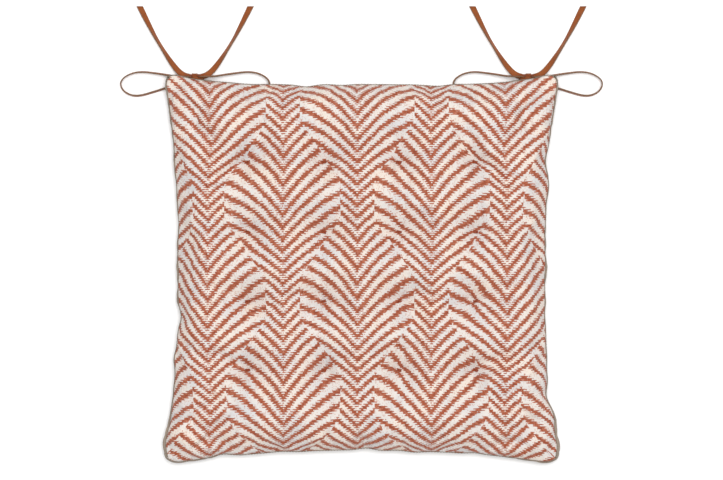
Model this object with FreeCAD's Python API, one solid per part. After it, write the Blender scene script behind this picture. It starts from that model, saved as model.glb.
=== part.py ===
import FreeCAD, Part

import math
import os

# Tufted chair seat pad: two cloth covers sewn together round the edge, a fibre filling, sixteen tuft
# threads drawn through the pad, and a pair of ribbons tied in a bow at each back corner.
# Millimetres. The pad lies flat: +Z up, the patterned cover on top, the tied back edge towards +Y.
# The origin is under the middle of the pad, on the surface that it rests on.

V = FreeCAD.Vector

# ---- Outline of the pad: the sides and the two ends pull in between four pointed corners ----
CORNER_X_FRONT = 206.3     # half width at the front corners, before they are rounded
CORNER_X_BACK = 202.8
CORNER_Y_FRONT = 199.4       # front and back corners, before they are rounded
CORNER_Y_BACK = 203.2
SIDE_X = 188.5             # half width at the middle of the sides
BACK_Y = 188.4             # back edge at its middle
FRONT_Y = 184.0            # front edge at its middle
SIDE_POWER = 2.8           # how suddenly each edge swings out to its corners
BACK_POWER = 5.2
FRONT_POWER = 2.2
ROUND_FRONT = 24.0         # corner radii
ROUND_BACK = 17.0
EDGE_STEPS = 12            # points that a curved edge is drawn through

# ---- Thickness ----
SEAM_Z = 14.0              # height of the edge seam above the floor
CLOTH = 1.0                # each cover's thickness
RIM_GAP = 0.3              # half of the room between the covers at the rim
CROWN = 31.0               # how far the top swells above its rim
CROWN_RUN = 60.0           # from the edge to the full crown
CROWN_POWER = 3.0
BELLY_RUN = 55.0           # the same for the underside
BELLY_POWER = 1.6
BELLY_PRESS = 1.5          # how far the floor flattens the underside
CLEAR = 0.3                # room between the filling and the cloth

# ---- Tufting: four rows of four, row 1 at the back ----
TUFT_X = (-115.0, -38.0, 38.0, 115.0)
TUFT_Y = (109.0, 38.5, -31.5, -101.0)
TUFT_DEPTH = 19.0          # the stitch pulls the top down this far
TUFT_LIFT = 8.0            # and the underside up this far
TUFT_SPREAD = 20.0         # radius at which a dimple has mostly faded
THREAD_R = 0.6
THREAD_HOLE_R = 1.0
STITCH_LENGTH = 5.0        # of the bar of thread on the top
STITCH_R = 0.7
STITCH_STAND = 1.3         # from the cloth to the middle of the bar
KNOT_R = 1.8
KNOT_STAND = 2.3           # from the cloth to the middle of the knot

# ---- Ties ----
RIBBON_WIDTH = 6.0
RIBBON = 1.4               # thickness
BOW_X = 169.0              # middle of each bow
BOW_Y = 195.0
# One ribbon of a bow, seen from above: from the seam round its loop, back through the knot and out
# along its tail. x is measured away from the middle of the bow, y from BOW_Y.
RIBBON_ROUTE = [
    (4.5, 1.2), (16.0, 0.6), (36.0, 4.4), (60.0, 7.2), (76.5, -1.5), (74.5, -13.0), (61.0, -19.7),
    (40.0, -13.8), (17.0, -6.0), (2.0, -5.2), (1.4, 4.4), (13.0, 5.2), (24.0, 16.5), (35.0, 33.8),
    (46.2, 52.6), (56.7, 71.8),
]
ARC_SHARE = 0.45           # share of the shorter run that a tangent arc takes up
TAB_DEPTH = 2.0            # the end of each ribbon that is sewn into the seam
TAB_CLEAR = 0.1
KNOT_WIDTH = 21.0          # of the wrap, across the bow
KNOT_HEIGHT = 10.2
KNOT_DEPTH = 6.0           # the width of the ribbon that makes the wrap
KNOT_ROUND = 1.6
KNOT_CLEAR = 0.2
TACK_HEIGHT = 1.8
TACK = 0.5

# ---- Seams ----
ALLOWANCE = 4.0            # width of the sewn allowance inside the edge
CLOSING_SPAN = 140.0       # slot in the back edge, closed by hand after filling
CLOSING_COUNT = 21
CLOSING_R = 0.3
CLOSING_HEIGHT = 3.0
CLOSING_STAND = 0.5

# ---- Working extents for the cloth surfaces ----
GRID_HALF = 212.0
GRID_STEP = 8.0
TALL = 60.0


# ---------------------------------------------------------------- outline

def side_x(y, inset=0.0):
    """Half width of the pad at y."""
    corner, reach = (CORNER_X_BACK, CORNER_Y_BACK)
    if y < 0:
        corner, reach = (CORNER_X_FRONT, CORNER_Y_FRONT)
    return SIDE_X - inset + (corner - SIDE_X) * abs(y / reach) ** SIDE_POWER


def end_y(x, sign, inset=0.0):
    """y of the back edge (sign 1) or the front edge (sign -1) at x."""
    middle, power, corner, reach = (BACK_Y, BACK_POWER, CORNER_Y_BACK, CORNER_X_BACK)
    if sign < 0:
        middle, power, corner, reach = (FRONT_Y, FRONT_POWER, CORNER_Y_FRONT, CORNER_X_FRONT)
    return sign * (middle - inset + (corner - middle) * abs(x / reach) ** power)


def corner_point(x_sign, y_sign, inset=0.0):
    """Where a side and an end would meet if the corner were not rounded."""
    x = CORNER_X_BACK if y_sign > 0 else CORNER_X_FRONT
    y = CORNER_Y_BACK if y_sign > 0 else -CORNER_Y_FRONT
    for _ in range(20):
        x = side_x(y, inset)
        y = end_y(x, y_sign, inset)
    return V(x_sign * x, y, 0)


def curve_through(points):
    curve = Part.BSplineCurve()
    curve.interpolate(points)
    return curve.toShape()


def side_edge(x_sign, inset):
    low = corner_point(x_sign, -1, inset)
    high = corner_point(x_sign, 1, inset)
    points = [low]
    for i in range(1, EDGE_STEPS):
        y = low.y + (high.y - low.y) * i / EDGE_STEPS
        points.append(V(x_sign * side_x(y, inset), y, 0))
    return curve_through(points + [high])


def end_edge(y_sign, inset):
    left = corner_point(-1, y_sign, inset)
    right = corner_point(1, y_sign, inset)
    points = [left]
    for i in range(1, EDGE_STEPS):
        x = left.x + (right.x - left.x) * i / EDGE_STEPS
        points.append(V(x, end_y(x, y_sign, inset), 0))
    return curve_through(points + [right])


def outline_prism(z_low, z_high, inset=0.0):
    """Everything inside the outline, between two heights."""
    edges = Part.__sortEdges__([
        side_edge(-1, inset), end_edge(1, inset), side_edge(1, inset), end_edge(-1, inset),
    ])
    face = Part.Face(Part.Wire(edges))
    face.translate(V(0, 0, z_low))
    prism = face.extrude(V(0, 0, z_high - z_low))
    for y_sign, radius in ((1, ROUND_BACK), (-1, ROUND_FRONT)):
        upright = [
            e for e in prism.Edges
            if abs(e.Vertexes[0].Z - e.Vertexes[-1].Z) > 0.9 * (z_high - z_low)
            and e.CenterOfMass.y * y_sign > 0
        ]
        prism = prism.makeFillet(max(radius - inset, 1.0), upright)
    return prism


# ---------------------------------------------------------------- cloth surfaces

def swell(distance, run, power):
    """0 at the edge, rising to 1 at `run` inside it."""
    return 1.0 - max(0.0, 1.0 - distance / run) ** power


def fullness(x, y, run, power):
    """How far the pad is filled at a point, from 0 at the edges to 1."""
    return (
        swell(side_x(y) - abs(x), run, power)
        * swell(end_y(x, 1) - y, run, power)
        * swell(y - end_y(x, -1), run, power)
    )


def dimple(x, y):
    """1 at each tuft, fading away round it."""
    return sum(
        math.exp(-((x - tx) ** 2 + (y - ty) ** 2) / TUFT_SPREAD ** 2)
        for tx in TUFT_X for ty in TUFT_Y
    )


def top_z(x, y):
    """Outer face of the top cover."""
    rim = SEAM_Z + RIM_GAP + CLOTH
    return rim + CROWN * fullness(x, y, CROWN_RUN, CROWN_POWER) - TUFT_DEPTH * dimple(x, y)


def bottom_z(x, y):
    """Outer face of the bottom cover before the floor flattens it."""
    rim = SEAM_Z - RIM_GAP - CLOTH
    drop = (rim + BELLY_PRESS) * fullness(x, y, BELLY_RUN, BELLY_POWER)
    return rim - drop + TUFT_LIFT * dimple(x, y)


def cloth_face(height):
    count = int(2 * GRID_HALF / GRID_STEP) + 1
    places = [-GRID_HALF + GRID_STEP * i for i in range(count)]
    heights = [[height(x, y) for y in places] for x in places]
    surface = Part.BSplineSurface()
    surface.interpolate(heights, -GRID_HALF, GRID_STEP, -GRID_HALF, GRID_STEP)
    return surface.toShape()


def lifted(shape, rise):
    copy = shape.copy()
    copy.translate(V(0, 0, rise))
    return copy


def slab(z_low, z_high):
    return Part.makeBox(3 * GRID_HALF, 3 * GRID_HALF, z_high - z_low,
                        V(-1.5 * GRID_HALF, -1.5 * GRID_HALF, z_low))


def thread_holes():
    holes = [
        Part.makeCylinder(THREAD_HOLE_R, 2 * TALL, V(x, y, -TALL / 2))
        for x in TUFT_X for y in TUFT_Y
    ]
    return Part.makeCompound(holes)


# ---------------------------------------------------------------- ties

def to_bow(point, bow_sign, ribbon_sign, z=0.0):
    """A point of the ribbon's route, placed in the bow on that side of the pad."""
    x, y = point
    return V(bow_sign * BOW_X + ribbon_sign * x, BOW_Y + y, z)


def left_of(direction):
    """Unit vector in plan, to the left of a direction."""
    return V(-direction.y, direction.x, 0).normalize()


def rounded_path(points):
    """Straight runs joined by tangent arcs: a list of runs [(point, direction), ...] and the arcs' radii.

    A straight run has two points, an arc has three, each with the direction of travel there.
    """
    pieces = []
    radii = []
    start = points[0]
    for before, corner, after in zip(points, points[1:], points[2:]):
        arrive = (corner - before).normalize()
        leave = (after - corner).normalize()
        half_turn = arrive.getAngle(leave) / 2
        cut = ARC_SHARE * min((corner - before).Length, (after - corner).Length)
        radius = cut / math.tan(half_turn)
        arc_start = corner - arrive * cut
        arc_end = corner + leave * cut
        inward = (leave - arrive).normalize()
        middle = corner + inward * (radius / math.cos(half_turn) - radius)
        pieces.append([(start, arrive), (arc_start, arrive)])
        pieces.append([(arc_start, arrive), (middle, arc_end - arc_start), (arc_end, leave)])
        radii.append(radius)
        start = arc_end
    last = points[-1] - points[-2]
    pieces.append([(start, last), (points[-1], last)])
    return pieces, radii


def path_edges(pieces, shift=0.0):
    """The path's edges, moved sideways to its left by `shift`."""
    edges = []
    for piece in pieces:
        places = [point + left_of(direction) * shift for point, direction in piece]
        maker = Part.Arc if len(places) == 3 else Part.LineSegment
        edges.append(maker(*places).toShape())
    return edges


def standing_band(pieces, thickness, height):
    """A ribbon standing on its edge along a flat path."""
    left_side = path_edges(pieces, thickness / 2)
    right_side = path_edges(pieces, -thickness / 2)
    ends = [
        Part.makeLine(left_side[i].Vertexes[i].Point, right_side[i].Vertexes[i].Point)
        for i in (0, -1)
    ]
    outline = Part.Wire(Part.__sortEdges__(left_side + right_side + ends))
    return Part.Face(outline).extrude(V(0, 0, height))


def box_between(low, high):
    return Part.makeBox(high.x - low.x, high.y - low.y, high.z - low.z, low)


def seam_end(bow_sign, ribbon_sign, grow):
    """The ribbon's start: a tab caught in the seam and a leg from it down to the loop."""
    start = to_bow(RIBBON_ROUTE[0], bow_sign, ribbon_sign)
    x_ends = sorted((start.x, start.x + ribbon_sign * RIBBON_WIDTH))
    y_near = start.y - RIBBON / 2
    y_far = start.y + RIBBON / 2
    z_top = SEAM_Z + RIBBON / 2
    leg = box_between(V(x_ends[0] - grow, y_near - grow, RIBBON_WIDTH / 2),
                      V(x_ends[1] + grow, y_far + grow, z_top + grow))
    tab = box_between(V(x_ends[0] - grow, y_near - TAB_DEPTH - grow, SEAM_Z - RIBBON / 2 - grow),
                      V(x_ends[1] + grow, y_far + grow, z_top + grow))
    return leg.fuse(tab)


def make_ribbon(bow_sign, ribbon_sign, grow=0.0):
    points = [to_bow(p, bow_sign, ribbon_sign) for p in RIBBON_ROUTE]
    pieces, radii = rounded_path(points)
    length = sum(edge.Length for edge in path_edges(pieces))
    band = standing_band(pieces, RIBBON + 2 * grow, RIBBON_WIDTH + grow)
    ribbon = band.fuse(seam_end(bow_sign, ribbon_sign, grow)).removeSplitter()
    return ribbon.Solids[0], band, length, radii


def make_knot(bow_sign, ribbons):
    """The turns of ribbon round the middle of a bow, with channels for what runs through them."""
    centre = to_bow((0, 0), bow_sign, 1)
    block = box_between(centre + V(-KNOT_WIDTH / 2, -KNOT_DEPTH / 2, 0),
                        centre + V(KNOT_WIDTH / 2, KNOT_DEPTH / 2, KNOT_HEIGHT))
    top_edges = [e for e in block.Edges if min(v.Z for v in e.Vertexes) > KNOT_HEIGHT / 2]
    block = block.makeFillet(KNOT_ROUND, top_edges)
    for ribbon in ribbons:
        block = block.cut(ribbon)
    return max(block.Solids, key=lambda s: s.Volume)


def make_tack(bow_sign):
    """The bar tack over the two ribbon ends."""
    centre = to_bow(RIBBON_ROUTE[0], bow_sign, 0, SEAM_Z)
    half = RIBBON_ROUTE[0][0] + RIBBON_WIDTH
    y = centre.y + RIBBON / 2
    return box_between(V(centre.x - half, y, SEAM_Z - TACK_HEIGHT / 2),
                       V(centre.x + half, y + TACK, SEAM_Z + TACK_HEIGHT / 2))


# ---------------------------------------------------------------- small pieces

def capsule(start, end, radius):
    """A short length of thread with round ends."""
    run = end - start
    return (Part.makeCylinder(radius, run.Length, start, run)
            .fuse(Part.makeSphere(radius, start))
            .fuse(Part.makeSphere(radius, end)))


def make_tuft_thread(x, y):
    """Stitch on the top, thread through the pad, knot under it."""
    stitch = V(x, y, top_z(x, y) + STITCH_STAND)
    knot = V(x, y, bottom_z(x, y) - KNOT_STAND)
    half = V(STITCH_LENGTH / 2 - STITCH_R, 0, 0)
    thread = Part.makeCylinder(THREAD_R, stitch.z - knot.z, knot)
    bar = capsule(stitch - half, stitch + half, STITCH_R)
    return thread.fuse(bar).fuse(Part.makeSphere(KNOT_R, knot)).Solids[0]


def make_closing_stitches():
    stitches = []
    for i in range(CLOSING_COUNT):
        x = CLOSING_SPAN * (i / (CLOSING_COUNT - 1) - 0.5)
        y = end_y(x, 1) + CLOSING_STAND
        half = V(0, 0, CLOSING_HEIGHT / 2 - CLOSING_R)
        stitches.append(capsule(V(x, y, SEAM_Z) - half, V(x, y, SEAM_Z) + half, CLOSING_R))
    return Part.makeCompound(stitches)


# ---------------------------------------------------------------- build

def make_covers_and_filling(pockets):
    top_face = cloth_face(top_z)
    floor_to_top = cloth_face(bottom_z).extrude(V(0, 0, TALL)).common(slab(0, TALL))
    holes = thread_holes()

    top_cover = top_face.extrude(V(0, 0, -CLOTH)).common(outline_prism(0, TALL))

    low_half = outline_prism(0, SEAM_Z - RIM_GAP / 2)
    bottom_cover = floor_to_top.common(low_half).cut(lifted(floor_to_top, CLOTH))

    under_top = lifted(top_face, -CLOTH - CLEAR).extrude(V(0, 0, -TALL))
    filling = (under_top.common(outline_prism(0, TALL, ALLOWANCE + CLEAR))
               .common(lifted(floor_to_top, CLOTH + CLEAR)))
    return [shape.cut(holes).cut(pockets) for shape in (top_cover, bottom_cover, filling)]


def make_edge_seam(pockets):
    low = SEAM_Z - RIM_GAP / 2
    high = SEAM_Z + RIM_GAP / 2
    ring = outline_prism(low, high).cut(outline_prism(low - 1, high + 1, ALLOWANCE))
    return ring.cut(pockets)


def single(shape):
    """The one solid of a shape."""
    solids = sorted(shape.Solids, key=lambda s: s.Volume)
    if len(solids) > 1 and solids[-2].Volume > 1.0:
        print("more than one solid:", [round(s.Volume, 2) for s in solids])
    return solids[-1]


def build():
    nodes = {}
    pockets = []
    for side, bow_sign in (("left", -1), ("right", 1)):
        channels = []
        for place, ribbon_sign in (("outer", bow_sign), ("inner", -bow_sign)):
            ribbon, band, length, radii = make_ribbon(bow_sign, ribbon_sign)
            nodes[f"tie_{side}_{place}"] = ribbon
            channels.append(make_ribbon(bow_sign, ribbon_sign, KNOT_CLEAR)[0])
            pockets.append(seam_end(bow_sign, ribbon_sign, TAB_CLEAR))
            section = RIBBON * RIBBON_WIDTH
            print(f"tie_{side}_{place}: path {length:.1f} mm, volume {band.Volume:.0f} mm3, section x length "
                  f"{section * length:.0f} mm3, radii", " ".join(f"{r:.1f}" for r in radii))
        nodes[f"knot_{side}"] = make_knot(bow_sign, channels)
        nodes[f"tack_{side}"] = make_tack(bow_sign)
    pockets = Part.makeCompound(pockets)

    top_cover, bottom_cover, filling = make_covers_and_filling(pockets)
    nodes["top_cover"] = single(top_cover)
    nodes["bottom_cover"] = single(bottom_cover)
    nodes["fibre_filling"] = single(filling)
    nodes["edge_seam"] = single(make_edge_seam(pockets))
    nodes["closing_stitches"] = make_closing_stitches()
    for row, y in enumerate(TUFT_Y, start=1):
        for column, x in enumerate(TUFT_X, start=1):
            nodes[f"tuft_thread_r{row}_c{column}"] = make_tuft_thread(x, y)
    return nodes


os.makedirs("parts", exist_ok=True)
for name, shape in build().items():
    if not shape.isValid():
        print("not valid:", name)
    shape.exportStep(f"parts/{name}.step")
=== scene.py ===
import math
from functools import partialmethod

import bpy
import numpy as np
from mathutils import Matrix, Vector


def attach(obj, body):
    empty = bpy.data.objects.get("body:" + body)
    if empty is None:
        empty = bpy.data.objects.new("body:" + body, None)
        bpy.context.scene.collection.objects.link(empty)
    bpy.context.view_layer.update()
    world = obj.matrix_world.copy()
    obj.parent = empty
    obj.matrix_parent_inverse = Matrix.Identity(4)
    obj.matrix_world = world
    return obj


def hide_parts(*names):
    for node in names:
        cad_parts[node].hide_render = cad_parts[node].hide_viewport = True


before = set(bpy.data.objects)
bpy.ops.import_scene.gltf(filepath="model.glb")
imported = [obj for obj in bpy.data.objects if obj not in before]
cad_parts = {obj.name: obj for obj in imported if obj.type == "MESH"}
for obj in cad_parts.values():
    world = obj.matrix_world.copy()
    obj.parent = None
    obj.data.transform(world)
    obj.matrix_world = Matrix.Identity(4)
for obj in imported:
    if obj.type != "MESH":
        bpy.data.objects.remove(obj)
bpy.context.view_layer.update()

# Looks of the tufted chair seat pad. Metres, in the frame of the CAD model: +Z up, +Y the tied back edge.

scene = bpy.context.scene
scene.view_settings.view_transform = "Standard"

# ---- Outline of the pad, the same curves as the CAD model ----
CORNER_X_FRONT = 0.2063
CORNER_X_BACK = 0.2028
CORNER_Y_FRONT = 0.1994
CORNER_Y_BACK = 0.2032
SIDE_X = 0.1885
BACK_Y = 0.1884
FRONT_Y = 0.1840
SIDE_POWER = 2.8
BACK_POWER = 5.2
FRONT_POWER = 2.2
ROUND_FRONT = 0.0240
ROUND_BACK = 0.0170

# ---- Thickness ----
SEAM_Z = 0.0140
SEAM_RISE = 0.0010         # the seam line stands this far above the CAD seam, as the underside rolls up
CROWN = 0.0285
CROWN_RUN = 0.056
CROWN_POWER = 3.2
BELLY_RUN = 0.055
BELLY_POWER = 1.6
BELLY_PRESS = 0.0015       # how far it would reach below the floor if the floor weren't there
BELLY_START = 0.0013       # the underside starts this far below the seam
TURN_FROM = 0.008          # from the edge to where the rolled edge gives way to the belly
TURN_RUN = 0.010
FLOOR_GAP = 0.0003

# ---- Tufts ----
TUFT_X = (-0.115, -0.038, 0.038, 0.115)
TUFT_Y = (0.109, 0.0385, -0.0315, -0.101)
TUFT_DEPTH = 0.0125        # of the wide hollow round a tuft
TUFT_SPREAD = 0.021
PIT_DEPTH = 0.0065         # of the narrow pit in the middle of it
PIT_SPREAD = 0.0075
TUFT_LIFT = 0.0080         # of the underside

# ---- Seam, as seen from above: the plain underside shows outside it ----
SEAM_INSET_SIDE = 0.0030      # at the middle of the sides; more towards the front, less at the back
SEAM_INSET_TURN = 0.0009
SEAM_INSET_BACK = 0.0010
SEAM_INSET_FRONT = 0.0020
SEAM_DRAW = 0.022          # how far in from the seam the top cover gives way to it
# The underside rolls out past the seam and then under: distance along it from the seam, how far inside
# the outline that is (in seam insets at the start), and how far below the seam.
ROLL_ALONG = (0.0, 0.0020, 0.0040, 0.0070, 0.0100, 0.0140, 0.0240, 0.0400)
ROLL_INSIDE = (1.0, 0.30, 0.0, 0.0, 0.0, 0.0, 0.0, 0.0)
ROLL_IN = (0.0, 0.0, 0.0, 0.0011, 0.0034, 0.0072, 0.0196, 0.0400)
ROLL_DROP = (0.0, 0.0007, 0.0024, 0.0044, 0.0055, 0.0064)

# ---- Ties ----
BOW_X = 0.169
BOW_Y = 0.195
RIBBON_WIDTH = 0.006
RIBBON_THICK = 0.0012


# ---- camera ----

VIEW_WIDTH = 0.7324        # across the picture at the height of the seam
VIEW_Y = 0.0304
EYE_HEIGHT = 4.0
SENSOR = 36.0

camera_data = bpy.data.cameras.new("camera")
camera_data.sensor_width = SENSOR
camera_data.lens = SENSOR * (EYE_HEIGHT - SEAM_Z) / VIEW_WIDTH
camera_data.clip_end = 20.0
camera = bpy.data.objects.new("camera", camera_data)
camera.location = (0.0, VIEW_Y, EYE_HEIGHT)
scene.collection.objects.link(camera)
scene.camera = camera


# ---- mesh helpers ----

def add_mesh(name, vertices, faces):
    mesh = bpy.data.meshes.new(name)
    mesh.from_pydata([tuple(v) for v in vertices], [], faces)
    mesh.validate()
    mesh.update()
    mesh.shade_smooth()
    made = bpy.data.objects.new(name, mesh)
    scene.collection.objects.link(made)
    return made


def unit(vectors):
    lengths = np.linalg.norm(vectors, axis=-1, keepdims=True)
    return vectors / np.maximum(lengths, 1e-12)


def tangents(points, closed=False):
    if closed:
        return unit(np.roll(points, -1, axis=0) - np.roll(points, 1, axis=0))
    return unit(np.gradient(points, axis=0))


def distance_along(points):
    """Distance of each point along its line, from the first."""
    return np.concatenate([[0], np.cumsum(np.linalg.norm(np.diff(points, axis=0), axis=1))])


def sweep(points, side, up, section, closed=False):
    """Vertices and faces of a section swept along points, with side and up vectors at each point."""
    section = np.asarray(section)
    count = len(section)
    rings = (
        points[:, None, :]
        + side[:, None, :] * section[None, :, 0, None]
        + up[:, None, :] * section[None, :, 1, None]
    )
    vertices = rings.reshape(-1, 3)
    faces = []
    steps = len(points) if closed else len(points) - 1
    for i in range(steps):
        a = i * count
        b = ((i + 1) % len(points)) * count
        for j in range(count):
            k = (j + 1) % count
            faces.append((a + j, a + k, b + k, b + j))
    if not closed:
        last = (len(points) - 1) * count
        faces.append(tuple(reversed(range(count))))
        faces.append(tuple(last + j for j in range(count)))
    return vertices, faces


def join_parts(parts):
    """One list of vertices and one of faces from several."""
    vertices = []
    faces = []
    start = 0
    for part_vertices, part_faces in parts:
        vertices.append(np.asarray(part_vertices))
        faces.extend(tuple(start + i for i in face) for face in part_faces)
        start += len(part_vertices)
    return np.concatenate(vertices), faces


def tube(points, radius, count=8, closed=False, twist=0.0, lobes=0, lobe_height=0.0):
    """A thread along points. With lobes and a twist it looks plied."""
    points = np.asarray(points, float)
    along = tangents(points, closed)
    reference = np.array([0.0, 0.0, 1.0])
    if abs(along[:, 2]).mean() > 0.8:
        reference = np.array([0.0, 1.0, 0.0])
    side = unit(np.cross(along, reference))
    up = np.cross(side, along)
    angle = (twist * distance_along(points))[:, None]
    turned_side = side * np.cos(angle) + up * np.sin(angle)
    turned_up = up * np.cos(angle) - side * np.sin(angle)
    around = np.arange(count) * 2 * np.pi / count
    reach = radius * (1 + lobe_height * np.cos(lobes * around))
    section = np.stack([reach * np.cos(around), reach * np.sin(around)], axis=1)
    return sweep(points, turned_side, turned_up, section, closed)


# ---- ties ----

# One ribbon of a bow: from the seam round its loop, back through the knot and out along its tail.
# x is measured away from the middle of the bow, y from BOW_Y, z from the floor. The last number is
# how flat the ribbon lies there, in degrees: 0 stands on its edge.
RIBBON_ROUTE = [
    (0.0045, 0.0012, 0.0132, 2), (0.0160, 0.0008, 0.0070, 10), (0.0360, 0.0044, 0.0031, 12),
    (0.0600, 0.0072, 0.0031, 8), (0.0765, -0.0015, 0.0031, 6), (0.0745, -0.0130, 0.0031, 6),
    (0.0610, -0.0197, 0.0031, 8), (0.0400, -0.0138, 0.0031, 10), (0.0170, -0.0060, 0.0031, 10),
    (0.0030, -0.0056, 0.0036, 6), (0.0022, 0.0010, 0.0048, 45), (0.0122, 0.0022, 0.0050, 86),
    (0.0210, 0.0108, 0.0036, 66), (0.0332, 0.0294, 0.0030, 22), (0.0444, 0.0484, 0.0027, 34),
    (0.0564, 0.0729, 0.0021, 80),
]


def nurbs_points(control, steps):
    """Points along the NURBS spline of order 3 that has these control points."""
    curve = bpy.data.curves.new("route", "CURVE")
    curve.dimensions = "3D"
    curve.resolution_u = steps
    spline = curve.splines.new("NURBS")
    spline.points.add(len(control) - 1)
    for point, place in zip(spline.points, control):
        point.co = (*place, 1.0)
    spline.order_u = 3
    spline.use_endpoint_u = True
    holder = bpy.data.objects.new("route", curve)
    scene.collection.objects.link(holder)
    bpy.context.view_layer.update()
    mesh = bpy.data.meshes.new_from_object(holder)
    points = np.array([v.co for v in mesh.vertices])
    bpy.data.objects.remove(holder)
    bpy.data.meshes.remove(mesh)
    bpy.data.curves.remove(curve)
    return points


def ribbon_section(width, thick):
    """A ribbon folded in two: thin, a little hollow in the middle, round at the fold."""
    half = width / 2
    rows = []
    for share in (-1.0, -0.93, -0.7, -0.35, 0.0, 0.35, 0.7, 0.93, 1.0):
        swell = 0.5 if abs(share) == 1.0 else 1.0 - 0.16 * (1 - share * share)
        rows.append((share * half, swell * thick / 2))
    return np.array(rows + [(x, -y) for x, y in reversed(rows)])


def ribbon_places(section, along):
    """Places on a ribbon's flat cloth: across it from its section, and the distances along it."""
    places = np.zeros((len(section) * len(along), 3))
    places[:, 0] = np.tile(section[:, 0], len(along))
    places[:, 1] = np.repeat(along, len(section))
    return places


def make_ribbon(name, bow_sign, ribbon_sign):
    def place(x, y, z):
        return (bow_sign * BOW_X + ribbon_sign * x, BOW_Y + y, z)

    control = [place(x, y, z) for x, y, z, _ in RIBBON_ROUTE]
    points = nurbs_points(control, 10)
    # The lie of the ribbon is a spline of its own, read at the same places.
    lie = nurbs_points([(lie_angle, 0.0, 0.0) for *_, lie_angle in RIBBON_ROUTE], 10)[:, 0]
    along = tangents(points)
    side = unit(np.cross(along, [0.0, 0.0, 1.0])) * ribbon_sign
    up = np.cross(side, along) * ribbon_sign
    angle = np.radians(lie)[:, None]
    wide = up * np.cos(angle) + side * np.sin(angle)
    thin = side * np.cos(angle) - up * np.sin(angle)
    section = ribbon_section(RIBBON_WIDTH, RIBBON_THICK)
    vertices, faces = sweep(points, wide, thin, section)
    # The tail is cut straight across the pad's direction, not square to itself.
    tip = slice(len(vertices) - len(section), len(vertices))
    vertices[tip] += along[-1] * ((points[-1, 1] - vertices[tip, 1]) / along[-1, 1])[:, None]
    made = add_mesh(name, vertices, faces)
    write_cloth(made, ribbon_places(section, distance_along(points)))
    return made, points, control[0]


def write_cloth(made, values):
    """Keeps each vertex's place on its flat cloth, which the materials read."""
    attribute = made.data.attributes.new("cloth", "FLOAT_VECTOR", "POINT")
    attribute.data.foreach_set("vector", np.asarray(values, np.float32).ravel())


def wrap_turn(shift, tilt, lean, half_depth, low, high, width):
    """One turn of ribbon round the middle of a bow: shift along the bow, tilt in plan, lean upright."""
    angles = np.arange(WRAP_POINTS) * 2 * np.pi / WRAP_POINTS
    y = half_depth * np.sign(np.cos(angles)) * abs(np.cos(angles)) ** WRAP_POWER
    z = (low + high) / 2 + (high - low) / 2 * np.sign(np.sin(angles)) * abs(np.sin(angles)) ** WRAP_POWER
    x = shift + tilt * y + lean * (z - (low + high) / 2)
    points = np.stack([x, y, z], axis=1)
    along = tangents(points, True)
    wide = unit(np.array([1.0, 0.0, 0.0]) - along * along[:, :1])
    thin = np.cross(along, wide)
    section = ribbon_section(width, RIBBON_THICK * 0.9)
    return *sweep(points, wide, thin, section, closed=True), section


# The turns of a wrap: shift, tilt, lean, half its depth, its lowest and highest place, ribbon width.
WRAP_TURNS = (
    (-0.0046, 0.55, 0.12, 0.0033, 0.0009, 0.0086, 0.0056),
    (0.0050, -0.60, -0.14, 0.0032, 0.0009, 0.0090, 0.0056),
    (-0.0008, 0.30, 0.10, 0.0040, 0.0007, 0.0100, 0.0050),
)
WRAP_POINTS = 40
WRAP_POWER = 0.55          # under 1, so a turn is squarer than an ellipse
WRAP_STEP = 0.0007         # along the cloth from one point to the next


def make_knot(name, bow_sign):
    parts = []
    cloth = []
    for turn in WRAP_TURNS:
        vertices, faces, section = wrap_turn(*turn)
        parts.append((vertices, faces))
        cloth.append(ribbon_places(section, np.arange(WRAP_POINTS) * WRAP_STEP))
    vertices, faces = join_parts(parts)
    vertices = vertices * [bow_sign, 1, 1] + [bow_sign * BOW_X, BOW_Y, 0]
    made = add_mesh(name, vertices, faces)
    write_cloth(made, np.concatenate(cloth))
    return made


TACK_TURNS = 60
TACK_REACH = 0.0100        # each side of the middle of the bow
TACK_BEHIND = 0.0022       # behind the middle of the bow
TACK_HEIGHT = 0.0009       # above and below the seam
TACK_THREAD_R = 0.00022


def make_tack(name, bow_sign):
    """Bar tack: a dense zigzag of thread over the two ribbon ends."""
    turns = np.arange(TACK_TURNS)
    points = np.stack([
        bow_sign * BOW_X + TACK_REACH * np.linspace(-1, 1, TACK_TURNS),
        np.full(TACK_TURNS, BOW_Y + TACK_BEHIND),
        SEAM_Z + TACK_HEIGHT * np.where(turns % 2, 1.0, -1.0),
    ], axis=1)
    finer = np.linspace(0, TACK_TURNS - 1, TACK_TURNS * 4)
    fine = np.stack([np.interp(finer, turns, values) for values in points.T], axis=1)
    vertices, faces = tube(fine, TACK_THREAD_R, 6)
    return add_mesh(name, vertices, faces)


def settle(made, node):
    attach(made, "root")
    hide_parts(node)


ties = {}
knots = {}
tacks = {}
for side_name, bow_sign in (("left", -1), ("right", 1)):
    for place_name, ribbon_sign in (("outer", bow_sign), ("inner", -bow_sign)):
        node = f"tie_{side_name}_{place_name}"
        label = f"ribbon_{side_name}_{place_name}"
        ribbon, route_points, exit_point = make_ribbon(label, bow_sign, ribbon_sign)
        ties[node] = (ribbon, side_name, exit_point, route_points)
    knots[side_name] = make_knot(f"bow_wrap_{side_name}", bow_sign)
    tacks[side_name] = make_tack(f"bar_tack_{side_name}", bow_sign)

for node, (ribbon, *_) in ties.items():
    settle(ribbon, node)
for side_name in ("left", "right"):
    settle(knots[side_name], f"knot_{side_name}")
    settle(tacks[side_name], f"tack_{side_name}")


# ---- pad surfaces ----

def side_x(y):
    corner = np.where(y > 0, CORNER_X_BACK, CORNER_X_FRONT)
    reach = np.where(y > 0, CORNER_Y_BACK, CORNER_Y_FRONT)
    return SIDE_X + (corner - SIDE_X) * abs(y / reach) ** SIDE_POWER


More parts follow.
